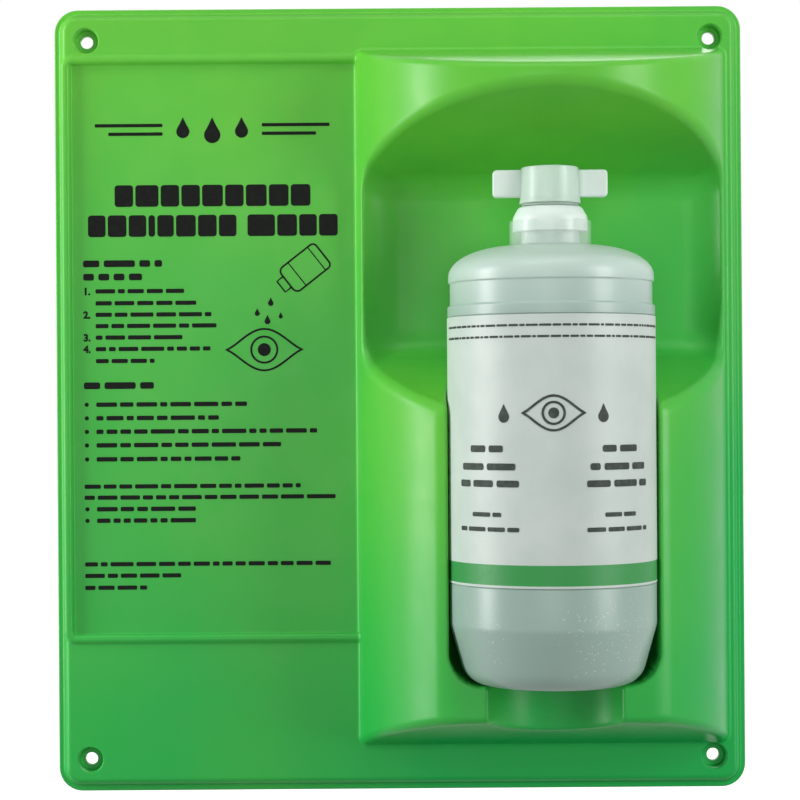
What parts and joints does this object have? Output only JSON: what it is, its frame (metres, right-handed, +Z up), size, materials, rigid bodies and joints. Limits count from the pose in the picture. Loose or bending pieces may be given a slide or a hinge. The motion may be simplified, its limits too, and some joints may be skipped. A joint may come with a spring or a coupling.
{
  "type": "wall-mounted eyewash station",
  "caption": "Wall panel formed from green plastic sheet, with a bare sign field and a bowed column whose pocket holds a sealed saline bottle with a winged twist-off top.",
  "frame": {"origin": "middle of the four screw holes, on the wall plane", "axes": "+Z up, +Y into the wall, so the front faces -Y; +X to the right as seen from the front"},
  "size_m": [0.305, 0.0967, 0.347],
  "materials": {
    "green_plastic": "satin",
    "bottle_plastic": "translucent",
    "saline": "clear liquid",
    "label_film": "satin film",
    "clear_film": "clear",
    "closure_plastic": "translucent"
  },
  "bodies": {
    "panel": {"wall_panel": "green_plastic"},
    "bottle": {"bottle_body": "bottle_plastic", "saline_fill": "saline", "bottle_label": "label_film", "tamper_band": "clear_film", "closure_cap": "closure_plastic"},
    "web": {"tear_web": "closure_plastic"},
    "top": {"twist_off_top": "closure_plastic"}
  },
  "joints": [
    {"name": "bottle_pull", "type": "slide", "parent": "panel", "child": "bottle", "axis": [0, -0.9994, 0.0349], "range_m": [0, 0.15]},
    {"name": "top_twist", "type": "hinge", "parent": "bottle", "child": "web", "pos_m": [0.0628, -0.0529, 0.08045], "axis": [0, 0, 1], "range_deg": [0, 90]},
    {"name": "top_lift", "type": "slide", "parent": "web", "child": "top", "axis": [0, 0, 1], "range_m": [0, 0.008]}
  ]
}
